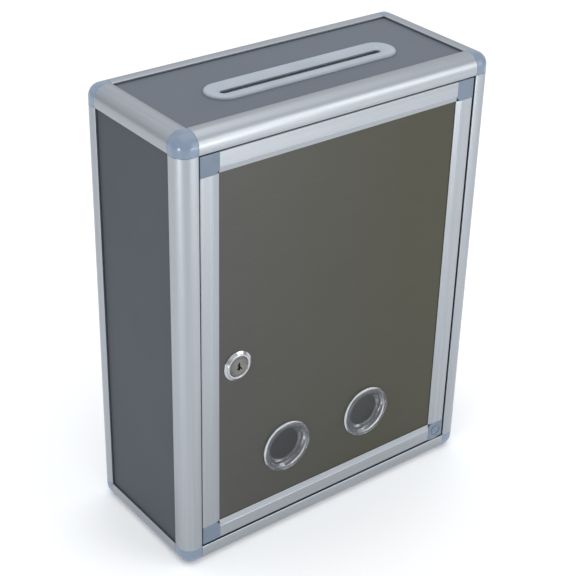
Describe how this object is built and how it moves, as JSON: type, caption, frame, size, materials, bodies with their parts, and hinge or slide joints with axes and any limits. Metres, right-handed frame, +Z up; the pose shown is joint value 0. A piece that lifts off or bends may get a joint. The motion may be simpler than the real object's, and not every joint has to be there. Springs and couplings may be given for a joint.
{
  "type": "donation box",
  "caption": "Upright donation box of aluminium edge profiles with round corner caps, a slot in the top, and a framed front door with a cam lock and viewing cups.",
  "frame": {"origin": "middle of the base, on the surface the box stands on", "axes": "+X is the box's right as seen from the front, +Y its back, +Z up; the door faces -Y"},
  "size_m": [0.246, 0.1076, 0.316],
  "materials": {
    "anodised_aluminium": "satin anodised, fine lines along the extrusion",
    "corner_plastic": "moulded, smooth with a soft gloss",
    "cabinet_sheet": "grey coated sheet, satin",
    "door_sheet": "brown-grey metallic coated sheet, satin",
    "trim_plastic": "moulded, light grey, soft gloss",
    "pivot_nylon": "plain white moulding",
    "window_plastic": "clear moulded cup",
    "lock_chrome": "polished plating",
    "plug_metal": "turned face, slightly worn",
    "plain_steel": "zinc plated"
  },
  "bodies": {
    "cabinet": {"front_left_post": "anodised_aluminium", "front_right_post": "anodised_aluminium", "back_left_post": "anodised_aluminium", "back_right_post": "anodised_aluminium", "top_front_rail": "anodised_aluminium", "top_back_rail": "anodised_aluminium", "top_left_rail": "anodised_aluminium", "top_right_rail": "anodised_aluminium", "bottom_front_rail": "anodised_aluminium", "bottom_back_rail": "anodised_aluminium", "bottom_left_rail": "anodised_aluminium", "bottom_right_rail": "anodised_aluminium", "cap_top_front_left": "corner_plastic", "cap_top_front_right": "corner_plastic", "cap_top_back_left": "corner_plastic", "cap_top_back_right": "corner_plastic", "cap_bottom_front_left": "corner_plastic", "cap_bottom_front_right": "corner_plastic", "cap_bottom_back_left": "corner_plastic", "cap_bottom_back_right": "corner_plastic", "left_panel": "cabinet_sheet", "right_panel": "cabinet_sheet", "back_panel": "cabinet_sheet", "bottom_panel": "cabinet_sheet", "top_panel": "cabinet_sheet", "slot_trim": "trim_plastic", "pivot_block_top": "pivot_nylon", "pivot_block_bottom": "pivot_nylon", "hinge_pin_top": "plain_steel", "hinge_pin_bottom": "plain_steel", "door_stop_strip": "anodised_aluminium", "stop_rivet_lower": "plain_steel", "stop_rivet_middle": "plain_steel", "stop_rivet_upper": "plain_steel"},
    "door": {"door_lock_stile": "anodised_aluminium", "door_hinge_stile": "anodised_aluminium", "door_top_rail": "anodised_aluminium", "door_bottom_rail": "anodised_aluminium", "door_corner_top_left": "corner_plastic", "door_corner_top_right": "corner_plastic", "door_corner_bottom_left": "corner_plastic", "door_corner_bottom_right": "corner_plastic", "door_panel": "door_sheet", "window_left": "window_plastic", "window_right": "window_plastic", "lock_barrel": "lock_chrome", "lock_washer": "plain_steel", "lock_nut": "plain_steel"},
    "lock": {"lock_plug": "plug_metal", "lock_cam": "plain_steel", "cam_washer": "plain_steel", "cam_screw": "plain_steel"}
  },
  "joints": [
    {"name": "door_hinge", "type": "hinge", "parent": "cabinet", "child": "door", "pos_m": [0.101, -0.05035, 0.158], "axis": [0, 0, 1], "range_deg": [0, 135]},
    {"name": "lock_turn", "type": "hinge", "parent": "door", "child": "lock", "pos_m": [-0.08, -0.0475, 0.1474], "axis": [0, 1, 0], "range_deg": [0, 90]}
  ]
}
